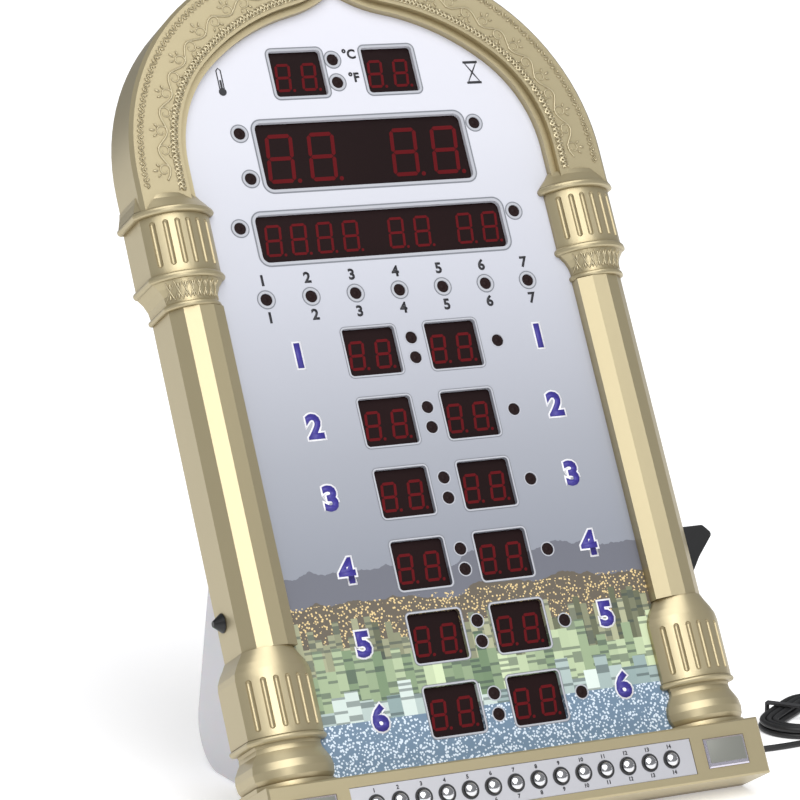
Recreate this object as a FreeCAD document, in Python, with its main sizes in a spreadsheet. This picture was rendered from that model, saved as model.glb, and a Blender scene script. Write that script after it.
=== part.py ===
import FreeCAD, Part
import os
from math import radians, degrees, sin, cos, tan, pi, sqrt, hypot, acos, atan2

# Desk clock with a keel-arch case: the case leans back on a folding rear leg.
# Every piece is drawn with the case upright (X right, Y to the back, Z up, the
# display face on Y = 0 and the plinth's underside on Z = 0), then leaned back
# so that the flat on the plinth's rear edge lies on the table at the origin.

doc = FreeCAD.newDocument("azan_clock")
V = FreeCAD.Vector

sizes = {
    # stance
    "lean_angle": 28.0, "rest_flat": 6.0,
    # case
    "case_back": 21.0, "wall": 2.5, "case_half": 138.3, "face_half": 109.4,
    "arch_half": 143.3, "arch_spring": 366.0, "arch_haunch": 122.0, "arch_draw": 0.9412073,
    "arch_keel": 45.0, "arch_tip": 37.412957, "arch_apex": 509.0, "arch_front": 8.0, "arch_bevel": 2.0,
    "face_spring": 371.4, "face_haunch": 74.2, "face_draw": 0.8256186,
    "face_keel": 72.0, "face_tip": 51.870139, "face_apex": 470.0,
    "lip_width": 6.0, "lip_cove": 4.0,
    # columns
    "column_place": 123.7, "shaft_half": 14.6, "facet_long": 8.6, "side_front": 2.6,
    "flute_radius": 1.7, "flute_count": 6.0,
    # plinth
    "plinth_half": 146.6, "plinth_height": 31.0, "plinth_front": 15.7,
    # display face
    "face_thick": 2.5, "face_foot": 33.0, "filter_thick": 1.5,
    "small_wide": 31.5, "small_high": 27.0, "row_pitch": 40.0, "row_top": 273.9, "rows": 6.0,
    "row_middle": 0.95, "pair_pitch": 49.9, "colon_pitch": 11.4, "lamp_place": 53.0,
    "time_wide": 127.2, "time_high": 38.9, "time_middle": 375.4,
    "date_wide": 150.5, "date_high": 27.3, "date_middle": 328.1,
    "upper_middle": 423.2, "lamp_hole": 7.0, "lamp_size": 5.0, "day_pitch": 26.7,
    "day_height": 293.8,
    # digit modules and boards
    "digit_deep": 8.0, "board_thick": 1.6, "clearance": 0.3,
    # buttons
    "button_count": 14.0, "button_pitch": 13.54, "button_size": 7.0, "button_height": 14.7,
    "strip_half": 101.5, "strip_high": 19.4, "strip_thick": 1.2,
    "end_plate_wide": 25.4, "end_plate_high": 16.0, "end_plate_place": 122.2,
    # leg
    "hinge_height": 259.0, "hinge_stand": 5.5, "pin_radius": 2.0, "running_gap": 0.05,
    "barrel_radius": 4.0, "leg_half": 99.0, "leg_thick": 2.2, "leg_flange": 16.0,
    "foot_rear": 172.0, "foot_front": 118.0, "foot_bend": 26.0, "leg_panel": 30.0, "knee_drop": 150.0,
    "pad_thick": 1.5, "pad_wide": 40.0, "pad_deep": 34.0,
    "pad_place": 70.0,
    # boards in the case
    "chip_wide": 32.0, "chip_thick": 3.0, "chip_high": 14.0, "power_wide": 56.0, "power_high": 76.0,
    "power_place": -86.0, "power_middle": 190.0,
    # side controls
    "control_height": 124.3, "control_depth": 13.2, "spindle_radius": 3.0,
    "lever_reach": 25.0, "lever_tall": 22.0, "lever_drop": 9.0, "knob_reach": 5.0, "knob_radius": 5.2,
    # speaker and mains
    "speaker_radius": 28.5, "speaker_place": 88.0, "speaker_height": 185.0,
    "cord_size": 3.6, "cord_place": 112.0, "cord_height": 21.0, "relief_long": 14.0,
    "hank_loops": 4.5, "hank_run": 40.0, "hank_bend": 10.8, "hank_pitch": 3.7,
    "plug_thick": 12.0, "prong_radius": 2.0, "prong_long": 19.0, "prong_pitch": 18.6,
}
sheet = doc.addObject("Spreadsheet::Sheet", "sizes")
for row, (name, value) in enumerate(sizes.items(), start=1):
    sheet.set("A%d" % row, name)
    sheet.set("B%d" % row, "%g" % value)
    sheet.setAlias("B%d" % row, name)
doc.recompute()


def size(name):
    return float(sheet.get(name))


lean = size("lean_angle")
case_back, wall, clearance = size("case_back"), size("wall"), size("clearance")
column_place = size("column_place")
plinth_half, plinth_front = size("plinth_half"), size("plinth_front")

# The rest flat cuts the plinth's rear lower edge at the lean angle.
flat_deep = size("rest_flat") * cos(radians(lean))
flat_high = size("rest_flat") * sin(radians(lean))
turn_back = FreeCAD.Rotation(V(1, 0, 0), -lean)
rest_middle = turn_back.multVec(V(0, case_back - flat_deep / 2, flat_high / 2))
STANCE = FreeCAD.Placement(V(0, -rest_middle.y, -rest_middle.z), turn_back)
LEVEL = FreeCAD.Placement()
nodes = []


def keep(piece, label, placement=STANCE):
    piece.Label = label
    piece.Placement = placement
    nodes.append(piece)
    return piece


def made(label, shape, placement=STANCE):
    piece = doc.addObject("Part::Feature", label)
    piece.Shape = shape
    return keep(piece, label, placement)


def bound_box(name, length, width, height, x, y, z):
    """A box whose sides follow the sheet, from its lowest corner."""
    piece = doc.addObject("Part::Box", name)
    piece.setExpression("Length", length)
    piece.setExpression("Width", width)
    piece.setExpression("Height", height)
    piece.Placement.Base = V(x, y, z)
    return piece


def block(wide, deep, high, x, y, z):
    """A solid centred on x, from y backwards, centred on z."""
    return Part.makeBox(wide, deep, high, V(x - wide / 2, y, z - high / 2))


def peg(radius, deep, x, y, z, direction=V(0, 1, 0)):
    return Part.makeCylinder(radius, deep, V(x, y, z), direction)


def both_sides(shape):
    return shape.fuse(shape.mirror(V(0, 0, 0), V(1, 0, 0)))


def rounded(wide, deep, high, x, y, z, corner):
    solid = block(wide, deep, high, x, y, z)
    edges = [e for e in solid.Edges if abs(e.tangentAt(e.FirstParameter).y) > 0.99]
    return solid.makeFillet(corner, edges)


def group(shapes):
    return Part.makeCompound(shapes)


# Outlines of the arch
def keel_face(name, inset, foot, y):
    """Keel arch: straight jambs, haunch arcs, flank arcs and reversed arcs up to the tip.

    The draw, below 1, says how straight the flanks are; the tip is its angle from the vertical."""
    half, spring, apex = size(name + "_half"), size(name + "_spring"), size(name + "_apex")
    haunch, keel, draw = size(name + "_haunch"), size(name + "_keel"), size(name + "_draw")
    tip = radians(size(name + "_tip"))
    haunch_x = half - haunch
    # The reversed arc ends at the apex, at the tip's angle, and the flank arc touches it and the haunch arc.
    keel_x, keel_z = keel * cos(tip), apex + keel * sin(tip)
    both, reach = haunch + keel, hypot(keel_x - haunch_x, keel_z - spring)
    turn = atan2(keel_z - spring, keel_x - haunch_x) - acos(draw * both / reach)
    excess = (reach ** 2 - both ** 2) / (2 * both * (1 - draw))
    flank = haunch + excess
    flank_x, flank_z = haunch_x - excess * cos(turn), spring - excess * sin(turn)
    meet = atan2(keel_z - flank_z, keel_x - flank_x)
    haunch, flank, keel, half = haunch - inset, flank - inset, keel + inset, half - inset
    tip_z = keel_z - sqrt(keel ** 2 - keel_x ** 2)
    tip_angle = atan2(tip_z - keel_z, -keel_x)

    def on(cx, cz, radius, angle):
        return V(cx + radius * cos(angle), y, cz + radius * sin(angle))
    start = V(half, y, spring)
    shoulder = on(haunch_x, spring, haunch, turn)
    joint = on(flank_x, flank_z, flank, meet)
    right = [
        Part.Arc(start, on(haunch_x, spring, haunch, turn / 2), shoulder).toShape(),
        Part.Arc(shoulder, on(flank_x, flank_z, flank, (turn + meet) / 2), joint).toShape(),
        Part.Arc(joint, on(keel_x, keel_z, keel, (meet - pi + tip_angle) / 2), V(0, y, tip_z)).toShape(),
    ]
    left = [edge.mirror(V(0, 0, 0), V(1, 0, 0)) for edge in right]
    corners = [V(-half, y, spring), V(-half, y, foot), V(half, y, foot), start]
    jambs = [Part.makeLine(a, b) for a, b in zip(corners, corners[1:])]
    return Part.Face(Part.Wire(Part.__sortEdges__(right + left + jambs)))


def case_keel(inset, foot, y):
    return keel_face("arch", inset, foot, y)


def face_keel(inset, foot, y):
    return keel_face("face", inset, foot, y)


# Columns
def bow(half, front, z, shift=0.0):
    """Plan of a column ring: a bowed front between straight sides, back to the rear."""
    side = -size("side_front")
    a, b = V(shift - half, case_back, z), V(shift - half, side, z)
    c, d = V(shift + half, side, z), V(shift + half, case_back, z)
    front_arc = Part.Arc(b, V(shift, -front, z), c).toShape()
    return Part.Wire([Part.makeLine(a, b), front_arc, Part.makeLine(c, d), Part.makeLine(d, a)])


def turned(rings):
    """A stack of bowed rings, given as (half width, front, height) and an outward shift."""
    return Part.makeLoft([bow(*ring) for ring in rings], True, True)


def round_ring(low, high, half, front, swell, steps=6):
    rings = []
    for step in range(steps + 1):
        angle = pi * step / steps
        bulge = swell * sin(angle)
        rings.append((half + bulge, front + bulge, (low + high) / 2 - (high - low) / 2 * cos(angle)))
    return turned(rings)


def shaft(low, high):
    """Faceted shaft: flat outer side, four facets across the front, the inner one turned to the display."""
    half, long = size("shaft_half"), size("facet_long")
    corners = [(half, case_back), (half, -size("side_front"))]
    for turn in (-45.0, -20.0, 5.0, 30.0):
        x, y = corners[-1]
        corners.append((x - long * cos(radians(turn)), y + long * sin(radians(turn))))
    corners.append((corners[-1][0], case_back))
    points = [V(x, y, low) for x, y in corners]
    return Part.Face(Part.makePolygon(points + points[:1])).extrude(V(0, 0, high - low))


def flutes(half, front, low, high):
    """Grooves with round ends, spaced over the bowed front."""
    count, radius, side = int(size("flute_count")), size("flute_radius"), size("side_front")
    rise = front - side
    bow_radius = (half ** 2 + rise ** 2) / (2 * rise)
    cutters = []
    for index in range(count):
        x = (index - (count - 1) / 2) * 2 * half / (count + 0.4)
        y = -front + bow_radius - sqrt(bow_radius ** 2 - x ** 2) - radius * 0.35
        capsule = peg(radius, high - low, x, y, low, V(0, 0, 1))
        for end in (low, high):
            capsule = capsule.fuse(Part.makeSphere(radius, V(x, y, end)))
        cutters.append(capsule)
    return cutters


def column():
    plinth_top = size("plinth_height")
    drum, drum_front = 21.6, 12.5
    parts = [
        turned([(22.6, 13.6, plinth_top - 1), (22.6, 13.6, 33.5)]),
        turned([(20.6, 11.8, 33.5), (22.4, 13.4, 36.5), (23.0, 14.0, 40.5), (22.3, 13.4, 44.5),
                (20.2, 11.6, 48.0), (18.6, 10.2, 50.5), (18.2, 9.8, 53.0), (18.8, 10.2, 54.6)]),
        round_ring(54.6, 58.2, 20.6, 11.8, 2.2),
        turned([(drum, drum_front, 58.2), (drum, drum_front, 90.0)]),
        turned([(drum, drum_front, 90.0), (21.0, 12.4, 93.5), (19.0, 12.0, 97.5), (16.6, 11.6, 101.0),
                (14.8, 11.3, 104.0)]),
        shaft(104.0, 290.2),
        round_ring(290.2, 293.4, 15.4, 11.4, 1.4),
        turned([(15.0, 11.2, 293.4), (15.6, 11.6, 298.0), (17.4, 12.2, 302.0), (20.2, 12.9, 305.6)]),
        round_ring(305.6, 309.8, 20.4, 13.0, 1.8),
        turned([(20.2, 12.6, 309.8), (20.2, 12.6, 342.3)]),
        round_ring(342.3, 346.4, 21.6, 13.4, 2.0),
        turned([(22.4, 13.6, 346.4, 0.0), (20.8, 11.9, 349.0, 0.8), (18.8, 9.9, 352.0, 1.8),
                (17.4, 8.7, 354.8, 2.6)]),
    ]
    solid = parts[0].multiFuse(parts[1:])
    cutters = flutes(drum, drum_front, 63.0, 87.0) + flutes(20.2, 12.6, 315.0, 337.5)
    return solid.cut(group(cutters))


right_column = column()
right_column.translate(V(column_place, 0, 0))

# Case: arch band, two columns and plinth in one hollow moulding, open at the back
plinth = Part.makeBox(2 * plinth_half, case_back + plinth_front, size("plinth_height"),
                      V(-plinth_half, -plinth_front, 0))
plinth = plinth.makeChamfer(1.0, [e for e in plinth.Edges
                                  if abs(e.CenterOfMass.y + plinth_front) < 0.01])
arch_front, arch_bevel, arch_foot = size("arch_front"), size("arch_bevel"), 346.0
arch = case_keel(0, arch_foot, arch_bevel - arch_front).extrude(V(0, case_back + arch_front - arch_bevel, 0))
arch = arch.fuse(Part.makeLoft([case_keel(arch_bevel, arch_foot, -arch_front).OuterWire,
                                case_keel(0, arch_foot, arch_bevel - arch_front).OuterWire], True, True))
inner_half = size("case_half") - wall
inset = size("arch_half") - inner_half
cavity = case_keel(inset, wall, 0).extrude(V(0, case_back + 1, 0))
ring_front = -arch_front + wall
ring = case_keel(inset + 1.3 * wall, 40.0, ring_front).extrude(V(0, -ring_front + 1, 0))
ring = ring.cut(face_keel(-size("lip_width"), 20.0, ring_front - 1).extrude(V(0, -ring_front + 3, 0)))
strip_bed_deep = size("strip_thick") + 0.4
plinth_cavity = Part.makeBox(2 * (plinth_half - wall), case_back + plinth_front - 2 * wall,
                             size("plinth_height") - 2 * wall,
                             V(-plinth_half + wall, -plinth_front + wall + strip_bed_deep, wall))
rear_mouth = Part.makeBox(2 * inner_half, 12, 40, V(-inner_half, case_back - 11, wall + flat_high))
opening = face_keel(0, arch_foot - 1, -20).extrude(V(0, 21, 0))
cove = face_keel(-size("lip_cove"), arch_foot - 1, -20).extrude(V(0, 20 - 4.5, 0))
arch = arch.cut(opening).cut(cove)
case = arch.multiFuse([both_sides(right_column), plinth])
case = case.cut(ring).cut(cavity).cut(plinth_cavity).cut(rear_mouth)
strip_bed = block(2 * size("strip_half") + 0.4, strip_bed_deep, size("strip_high") + 0.4,
                  0, -plinth_front, size("button_height"))
case = case.cut(strip_bed)
button_places = [(index - (size("button_count") - 1) / 2) * size("button_pitch")
                 for index in range(int(size("button_count")))]
case = case.cut(group([peg(size("button_size") / 2 + 0.6, 8, x, -plinth_front - 1, size("button_height"))
                       for x in button_places]))
end_beds = [block(size("end_plate_wide") + 0.4, 1.2, size("end_plate_high") + 0.4,
                  side * size("end_plate_place"), -plinth_front, size("button_height")) for side in (-1, 1)]
case = case.cut(group(end_beds))
# Posts for the cover's screws
cover_front = case_back - wall
cover_screw_places = [(side * x, z) for side in (-1, 1)
                      for x, z in ((128, 54), (128, 155), (128, 300), (60, 466), (130, 14))]
post_front = {(side * 130, 14): -plinth_front + 2 * wall for side in (-1, 1)}
posts = []
for x, z in cover_screw_places:
    start = post_front.get((x, z), ring_front - 0.5)
    posts.append(peg(3.4, cover_front - start, x, start, z))
case = case.fuse(posts).cut(group([peg(1.7, 8, x, cover_front - 8, z) for x, z in cover_screw_places]))
# Holes for the two side spindles
control_height, control_depth = size("control_height"), size("control_depth")
spindle_hole = size("spindle_radius") + size("running_gap")
case = case.cut(peg(spindle_hole, 2 * plinth_half + 20, -plinth_half - 10, control_depth, control_height,
                    V(1, 0, 0)))
# Rest flat on the rear lower edge
flat_cut = Part.Face(Part.makePolygon([V(-200, case_back - flat_deep, 0), V(-200, case_back + 20, 0),
                                       V(-200, case_back + 20, flat_high + 20 * tan(radians(lean))),
                                       V(-200, case_back - flat_deep, 0)])).extrude(V(400, 0, 0))
case = case.cut(flat_cut)
made("case_moulding", case.removeSplitter())

# Rear cover, set into the open back
cover_foot = wall + flat_high + clearance
cover = case_keel(inset + clearance, cover_foot, cover_front).extrude(V(0, wall, 0))
speaker_x, speaker_z = size("speaker_place"), size("speaker_height")
grille = [peg(1.6, wall + 2, speaker_x + ring_r * cos(2 * pi * k / count), cover_front - 1,
              speaker_z + ring_r * sin(2 * pi * k / count))
          for ring_r, count in ((0.0, 1), (6.0, 6), (12.0, 12), (18.0, 18)) for k in range(count)]
vents = [block(34, wall + 2, 2.4, -88, cover_front - 1, 330 + 7 * k) for k in range(8)]
keyholes = []
for side in (-1, 1):
    x = side * 62
    keyholes += [peg(4.0, wall + 2, x, cover_front - 1, 396), peg(2.2, wall + 2, x, cover_front - 1, 406),
                 block(4.4, wall + 2, 10, x, cover_front - 1, 401)]
cord_x, cord_z = size("cord_place"), size("cord_height")
relief_hole = peg(4.0, wall + 2, cord_x, cover_front - 1, cord_z)
screw_holes = [peg(1.8, wall + 2, x, cover_front - 1, z) for x, z in cover_screw_places]
made("rear_cover", cover.cut(group(grille + vents + keyholes + [relief_hole] + screw_holes)))
made("cover_screws", group([peg(3.2, 1.6, x, case_back, z).fuse(peg(1.6, 8, x, case_back - 8, z))
                            for x, z in cover_screw_places]))
# Display face with its windows and lamp holes
small_wide, small_high, row_top = size("small_wide"), size("small_high"), size("row_top")
row_middles = [row_top - size("row_pitch") * row - small_high / 2 for row in range(int(size("rows")))]
pair_places = [size("row_middle") + side * size("pair_pitch") / 2 for side in (-1, 1)]
row_windows = [(x, z) for z in row_middles for x in pair_places]
upper_windows = [(-30.3, size("upper_middle")), (26.6, size("upper_middle"))]
row_lamps = [(size("row_middle"), z + s * size("colon_pitch") / 2) for z in row_middles for s in (-1, 1)]
row_lamps += [(size("lamp_place"), z) for z in row_middles]
day_lamps = [(0.6 + size("day_pitch") * (k - 3), size("day_height")) for k in range(7)]
mode_lamps = [(-73.6, 389.4), (-72.9, 363.0), (71.0, 388.8), (-85.6, 335.0), (82.6, 335.0),
              (-7.7, 430.4), (-7.7, 416.8)]
face_thick = size("face_thick")
face = face_keel(-size("lip_width") + 1.5, size("face_foot"), 0).extrude(V(0, face_thick, 0))
windows = [rounded(small_wide, face_thick + 2, small_high, x, -1, z, 2.0)
           for x, z in row_windows + upper_windows]
time_x, time_z = -0.6, size("time_middle")
date_x, date_z = -0.8, size("date_middle")
windows.append(rounded(size("time_wide"), face_thick + 2, size("time_high"), time_x, -1, time_z, 4.0))
windows.append(rounded(size("date_wide"), face_thick + 2, size("date_high"), date_x, -1, date_z, 4.0))
lamp_holes = [peg(size("lamp_hole") / 2, face_thick + 2, x, -1, z)
              for x, z in row_lamps + day_lamps + mode_lamps]
digit_deep = size("digit_deep")
filter_back = face_thick + size("filter_thick")
board_front = filter_back + clearance + digit_deep
board_back = board_front + size("board_thick")
pillar_places = [(side * x, z) for side in (-1, 1)
                 for x, z in ((98, 60), (98, 236), (98, 300), (86, 400), (54, 438))]
pillars = [peg(3.0, board_front - face_thick, x, face_thick, z) for x, z in pillar_places]
face_shape = face.cut(group(windows + lamp_holes)).multiFuse(pillars)
face_shape = face_shape.cut(group([peg(1.3, 6, x, board_front - 6, z) for x, z in pillar_places]))
made("display_face", face_shape)

# Tinted filters behind the windows
margin = 1.5


def filters(label, places, wide, high):
    made(label, group([rounded(wide + 2 * margin, size("filter_thick"), high + 2 * margin,
                               x, face_thick, z, 2.0) for x, z in places]))


filters("small_filters", row_windows + upper_windows, small_wide, small_high)
filters("time_filter", [(time_x, time_z)], size("time_wide"), size("time_high"))
filters("date_filter", [(date_x, date_z)], size("date_wide"), size("date_high"))

# Seven-segment modules on the display board
digit_front = filter_back + clearance


def modules(label, places, wide, high):
    made(label, group([block(wide, digit_deep, high, x, digit_front, z) for x, z in places]))


modules("small_digits", [(x, z - 2.5) for x, z in row_windows + upper_windows], 25.4, 19.0)
modules("time_digits", [(time_x + side * 31.0, time_z - 1) for side in (-1, 1)], 58.0, 34.0)
modules("date_digits", [(x, date_z - 0.5) for x in (-49.4, 17.6, 59.6)], 31.0, 23.0)


def lamps(label, places):
    radius = size("lamp_size") / 2
    shapes = []
    for x, z in places:
        flange = peg(radius + 0.4, 1.0, x, face_thick + 2.2, z)
        body = peg(radius, board_front - 2.5, x, 2.5, z)
        shapes.append(body.fuse(Part.makeSphere(radius, V(x, 2.5, z))).fuse(flange))
    made(label, group(shapes))


lamps("row_lamps", row_lamps)
lamps("day_lamps", day_lamps)
lamps("mode_lamps", mode_lamps)

board = face_keel(5.0, 48.0, board_front).extrude(V(0, size("board_thick"), 0))
board = board.cut(group([peg(1.6, 8, x, board_front - 2, z) for x, z in pillar_places]))
speaker_room = peg(size("speaker_radius") + 3, 10, speaker_x, board_front - 4, speaker_z)
power_room = block(size("power_wide") + 6, 10, size("power_high") + 8, size("power_place"), board_front - 4,
                   size("power_middle"))
control_rooms = [block(34, 10, 34, side * 118, board_front - 4, control_height) for side in (-1, 1)]
made("display_board", board.cut(group([speaker_room, power_room] + control_rooms)))
made("board_screws", group([peg(2.6, 1.4, x, board_back, z).fuse(peg(1.25, 6, x, board_back - 6, z))
                            for x, z in pillar_places]))
controller = doc.addObject("Part::Box", "controller_chip")
controller.setExpression("Length", "sizes.chip_wide")
controller.setExpression("Width", "sizes.chip_thick")
controller.setExpression("Height", "sizes.chip_high")
keep(controller, "controller_chip",
     STANCE.multiply(FreeCAD.Placement(V(-size("chip_wide") / 2, board_back, 296), FreeCAD.Rotation())))

# Button strip along the plinth
strip_front = -plinth_front + 0.4
strip = block(2 * size("strip_half"), size("strip_thick"), size("strip_high"),
              0, strip_front, size("button_height"))
strip = strip.cut(group([peg(size("button_size") / 2 + 0.6, 6, x, strip_front - 2, size("button_height"))
                         for x in button_places]))
made("button_strip", strip)
cap_radius = size("button_size") / 2
button_board_front = -plinth_front + 10.0
switch_high = 3.5
cap_back = button_board_front - switch_high
collar_front = -plinth_front + wall + strip_bed_deep + clearance


def button_cap(x):
    """Domed cap on a stem with a collar that stops it behind the plinth wall."""
    front, dome, collar = strip_front - 1.2, 1.4, cap_radius + 1.6

    def at(radius, y):
        return V(x + radius, y, size("button_height"))
    corners = [at(cap_radius, front), at(cap_radius, collar_front), at(collar, collar_front),
               at(collar, cap_back), at(0, cap_back), at(0, front - dome)]
    edges = [Part.makeLine(p, q) for p, q in zip(corners, corners[1:])]
    edges.append(Part.Arc(at(0, front - dome), at(cap_radius * 0.6, front - dome * 0.72),
                          at(cap_radius, front)).toShape())
    return Part.Face(Part.Wire(edges)).revolve(at(0, 0), V(0, 1, 0), 360)


for index, x in enumerate(button_places, start=1):
    made("button_%02d" % index, button_cap(x))
made("button_switches", group([block(6, switch_high - 0.9, 6, x, cap_back + 0.9, size("button_height"))
                               for x in button_places]))
button_board = bound_box("button_board_blank", "sizes.strip_half * 2 + 8", "sizes.board_thick",
                         "sizes.strip_high + 4.2", 0, 0, 0)
keep(button_board, "button_board", STANCE.multiply(FreeCAD.Placement(
    V(-size("strip_half") - 4, button_board_front, size("button_height") - (size("strip_high") + 4.2) / 2),
    FreeCAD.Rotation())))

# Bevelled plates at the ends of the plinth
for side, label in ((-1, "left_end_plate"), (1, "right_end_plate")):
    wide, high = size("end_plate_wide"), size("end_plate_high")
    plate = block(wide, 2.0, high, side * size("end_plate_place"), -plinth_front - 0.8, size("button_height"))
    plate = plate.makeChamfer(0.75, [e for e in plate.Edges if e.BoundBox.YMax < -plinth_front - 0.7])
    made(label, plate)

# Speaker behind its grille, facing back
speaker_r, speaker_back = size("speaker_radius"), cover_front
basket = Part.makeCone(14, speaker_r, 8.0, V(speaker_x, speaker_back - 9.2, speaker_z), V(0, 1, 0))
basket = basket.fuse(peg(speaker_r, 1.2, speaker_x, speaker_back - 1.2, speaker_z))
hollow = Part.makeCone(10, speaker_r - 4, 9.2, V(speaker_x, speaker_back - 9.2, speaker_z), V(0, 1, 0))
made("speaker_basket", basket.cut(hollow))
cone = Part.makeCone(9.6, speaker_r - 6.3, 8.0, V(speaker_x, speaker_back - 9.2, speaker_z), V(0, 1, 0))
cone = cone.cut(Part.makeCone(8.8, speaker_r - 7.1, 8.0, V(speaker_x, speaker_back - 8.4, speaker_z),
                              V(0, 1, 0)))
made("speaker_cone", cone.cut(peg(9, 2, speaker_x, speaker_back - 10, speaker_z)))
made("speaker_magnet", peg(13.5, 3.6, speaker_x, speaker_back - 9.2 - 3.6, speaker_z))

# Power board, its parts and the transformer
power_front = cover_front - 6.0
power_x, power_z = size("power_place"), size("power_middle")
power_board = bound_box("power_board_blank", "sizes.power_wide", "sizes.board_thick", "sizes.power_high",
                        0, 0, 0)
keep(power_board, "power_board", STANCE.multiply(FreeCAD.Placement(
    V(power_x - size("power_wide") / 2, power_front, power_z - size("power_high") / 2), FreeCAD.Rotation())))
standoffs = [peg(2.6, 4.4, power_x + sx * (size("power_wide") / 2 - 4), power_front + size("board_thick"),
                 power_z + sz * (size("power_high") / 2 - 4)) for sx in (-1, 1) for sz in (-1, 1)]
made("board_standoffs", group(standoffs))
made("smoothing_capacitors", group([peg(4.0, 7.5, power_x - 14, power_front - 7.5, z)
                                    for z in (power_z + 8, power_z + 20)]))
made("cell_holder", peg(11.5, 2.0, power_x + 10, power_front - 2.0, power_z - 20))
made("backup_cell", peg(10.0, 3.2, power_x + 10, power_front - 5.2, power_z - 20))
core = block(34, 12, 22, 40, 5.0, 14)
winding = block(22, 15, 14, 40, 3.0, 14)
made("transformer_core", core.cut(winding))
made("transformer_winding", winding)

# Rotary controls in the side walls
spindle = size("spindle_radius")
inner_side = size("case_half") - wall
for side, label in ((-1, "left_control"), (1, "right_control")):
    body = block(8, 8, 14, side * (inner_side - 4), control_depth - 4, control_height)
    body = body.cut(peg(1.55, 20, side * (inner_side - 4) - 10, control_depth, control_height, V(1, 0, 0)))
    made(label, body)
outer_side = size("case_half") + 0.4


def spindle_shape():
    inner = peg(1.5, 9.5, inner_side - 8, control_depth, control_height, V(1, 0, 0))
    neck = peg(spindle, wall + 0.4, inner_side, control_depth, control_height, V(1, 0, 0))
    return inner.fuse(neck)


reach, tall = size("lever_reach"), size("lever_tall")
top, foot = control_height + tall, control_height - size("lever_drop")
lever_outline = [V(outer_side, 0, foot), V(outer_side + 6, 0, foot + 4), V(outer_side + 8.5, 0, foot + 7),
                 V(outer_side + 13, 0, foot + 13), V(outer_side + reach, 0, top - 5.5),
                 V(outer_side + reach - 5, 0, top), V(outer_side, 0, top)]
fin = Part.Face(Part.makePolygon(lever_outline + lever_outline[:1])).extrude(V(0, 7, 0))
fin.translate(V(0, control_depth - 3.5, 0))
fin = fin.makeFillet(2.4, [e for e in fin.Edges if e.BoundBox.XMin > outer_side + 14
                           and e.BoundBox.YLength > 6.9])
hub = peg(5.0, 3.0, outer_side, control_depth, control_height, V(1, 0, 0))
made("side_lever", fin.fuse(hub).fuse(spindle_shape()))
knob = Part.makeCone(size("knob_radius"), 1.6, size("knob_reach"),
                     V(outer_side, control_depth, control_height), V(1, 0, 0))
made("side_knob", knob.fuse(spindle_shape()).mirror(V(0, 0, 0), V(1, 0, 0)))

# Leg hinge on the rear cover
hinge_y, hinge_z = case_back + size("hinge_stand"), size("hinge_height")
pin_r, barrel_r = size("pin_radius"), size("barrel_radius")
bracket_inner, bracket_wide = size("leg_half") - 10, 6.0
brackets = []
for side in (-1, 1):
    x = side * (bracket_inner + bracket_wide / 2 + clearance)
    ear = block(bracket_wide, hinge_y - case_back, 9, x, case_back, hinge_z)
    ear = ear.fuse(peg(4.5, bracket_wide, x - bracket_wide / 2, hinge_y, hinge_z, V(1, 0, 0)))
    foot_plate = block(16, 2.2, 28, side * (bracket_inner + clearance + 8), case_back, hinge_z)
    bracket = ear.fuse(foot_plate).cut(peg(pin_r, 40, x - 20, hinge_y, hinge_z, V(1, 0, 0)))
    brackets.append(bracket)
made("hinge_brackets", group(brackets))
pin_half = bracket_inner + bracket_wide + clearance + 1
made("hinge_pin", peg(pin_r, 2 * pin_half, -pin_half, hinge_y, hinge_z, V(1, 0, 0)))

# Leg: a tray with side flanges, straight down from the barrel, then forward along the table
hinge = STANCE.multVec(V(0, hinge_y, hinge_z))
pad, bend, thick, flange = size("pad_thick"), size("foot_bend"), size("leg_thick"), size("leg_flange")
rear, front = size("foot_rear"), size("foot_front")
slope = atan2(rear - hinge.y - barrel_r, hinge.z - bend - pad)
bend_y, bend_z = rear - bend, pad + bend


def leg_path(depth, start):
    """Points of the leg's side line, set in from its outer face by depth."""
    r = bend - depth
    top_out = V(0, hinge.y + cos(slope) * (barrel_r - depth) - sin(slope) * -start,
                hinge.z + sin(slope) * (barrel_r - depth) - cos(slope) * start)
    turn_in = V(0, bend_y + r * cos(slope), bend_z + r * sin(slope))
    middle = (slope - pi / 2) / 2
    turn_mid = V(0, bend_y + r * cos(middle), bend_z + r * sin(middle))
    turn_out = V(0, bend_y, bend_z - r)
    return top_out, turn_in, turn_mid, turn_out


def leg_side():
    """Side panel of the leg: narrow under the hinge and as deep as the foot below."""
    a, b, c, d = leg_path(0, 0)
    tip_low, tip_high = V(0, front, pad), V(0, front - 2, pad + 5)
    neck = V(0, hinge.y - cos(slope) * barrel_r * 0.2, hinge.z - sin(slope) * barrel_r * 0.2)
    shoulder = leg_path(flange, 58)[0]
    knee = leg_path(size("leg_panel"), size("knee_drop"))[0]
    edges = [Part.makeLine(a, b), Part.Arc(b, c, d).toShape(), Part.makeLine(d, tip_low),
             Part.makeLine(tip_low, tip_high), Part.makeLine(tip_high, V(0, front + 6, pad + 24)),
             Part.makeLine(V(0, front + 6, pad + 24), knee), Part.makeLine(knee, shoulder),
             Part.makeLine(shoulder, neck), Part.makeLine(neck, a)]
    return Part.Face(Part.Wire(edges))


def leg_room():
    """The space in front of the tray's plate, between its flanges."""
    _, b, c, d = leg_path(thick, 0)
    a = leg_path(thick, 6)[0]
    low, high = V(0, front - 9, d.z), V(0, front - 9, a.z)
    edges = [Part.makeLine(a, b), Part.Arc(b, c, d).toShape(), Part.makeLine(d, low),
             Part.makeLine(low, high), Part.makeLine(high, a)]
    return Part.Face(Part.Wire(edges))


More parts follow.
